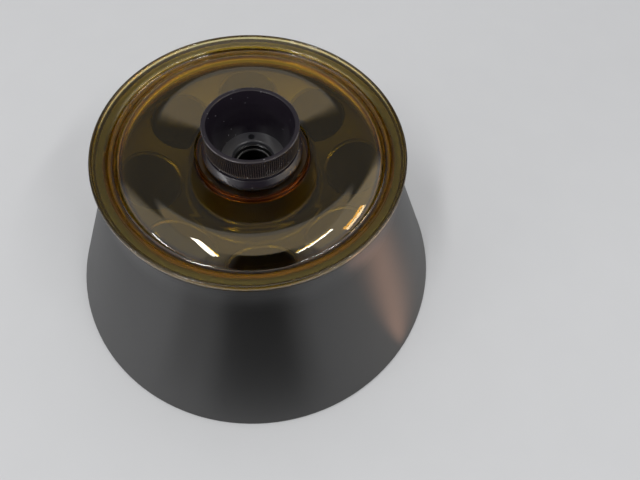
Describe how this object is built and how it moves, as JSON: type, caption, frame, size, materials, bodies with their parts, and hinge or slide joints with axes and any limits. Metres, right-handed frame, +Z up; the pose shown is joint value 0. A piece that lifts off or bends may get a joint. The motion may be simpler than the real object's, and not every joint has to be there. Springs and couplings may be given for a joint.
{
  "type": "fixed-angle centrifuge rotor",
  "caption": "Conical black centrifuge rotor with tilted tube cavities under a domed amber lid, held by a knurled screw-down knob with a funnel in its top.",
  "frame": {"origin": "on the spin axis, in the plane of the base rim that the rotor stands on", "axes": "+Z up along the spin axis, +X through the middle of a tube cavity, which is the picture's right-hand side"},
  "size_m": [0.202, 0.202, 0.1134],
  "materials": {
    "anodised_body": "satin black anodised, turned",
    "anodised_knob": "glossy black anodised",
    "anodised_insert": "satin dark anodised",
    "amber_lid": "clear amber, polished",
    "steel": "turned stainless",
    "screw_steel": "black oxide",
    "spring_steel": "phosphated spring steel",
    "seal_rubber": "matt black",
    "slide_plastic": "natural low-friction plastic"
  },
  "bodies": {
    "rotor": {"rotor_body": "anodised_body", "drive_hub": "steel", "hub_screws": "screw_steel", "drive_pins": "steel", "hub_seal": "seal_rubber", "tie_down_retaining_ring": "spring_steel"},
    "tie_down_carrier": {"tie_down_washer": "steel"},
    "tie_down": {"tie_down_nut": "steel"},
    "lid": {"lid": "amber_lid", "lid_seal": "seal_rubber", "knob_washer": "slide_plastic", "knob_seal": "seal_rubber"},
    "knob_carrier": {"knob_retaining_ring": "spring_steel", "knob_retaining_washer": "slide_plastic"},
    "knob": {"lid_knob": "anodised_knob", "knob_insert": "anodised_insert"}
  },
  "joints": [
    {"name": "tie_down_rise", "type": "slide", "parent": "rotor", "child": "tie_down_carrier", "axis": [0, 0, 1], "range_m": [0, 0.0075]},
    {"name": "tie_down_turn", "type": "hinge", "parent": "tie_down_carrier", "child": "tie_down", "pos_m": [0, 0, 0.06], "axis": [0, 0, 1], "range_deg": [0, 1800]},
    {"name": "lid_lift", "type": "slide", "parent": "rotor", "child": "lid", "axis": [0, 0, 1], "range_m": [0, 0.15]},
    {"name": "knob_rise", "type": "slide", "parent": "lid", "child": "knob_carrier", "axis": [0, 0, 1], "range_m": [0, 0.00525]},
    {"name": "knob_turn", "type": "hinge", "parent": "knob_carrier", "child": "knob", "pos_m": [0, 0, 0.1], "axis": [0, 0, 1], "range_deg": [0, 1260]}
  ],
  "couplings": [
    {"joint": "tie_down_turn", "follows": "tie_down_rise", "rad_per_m": 4188.8},
    {"joint": "knob_turn", "follows": "knob_rise", "rad_per_m": 4188.8}
  ]
}
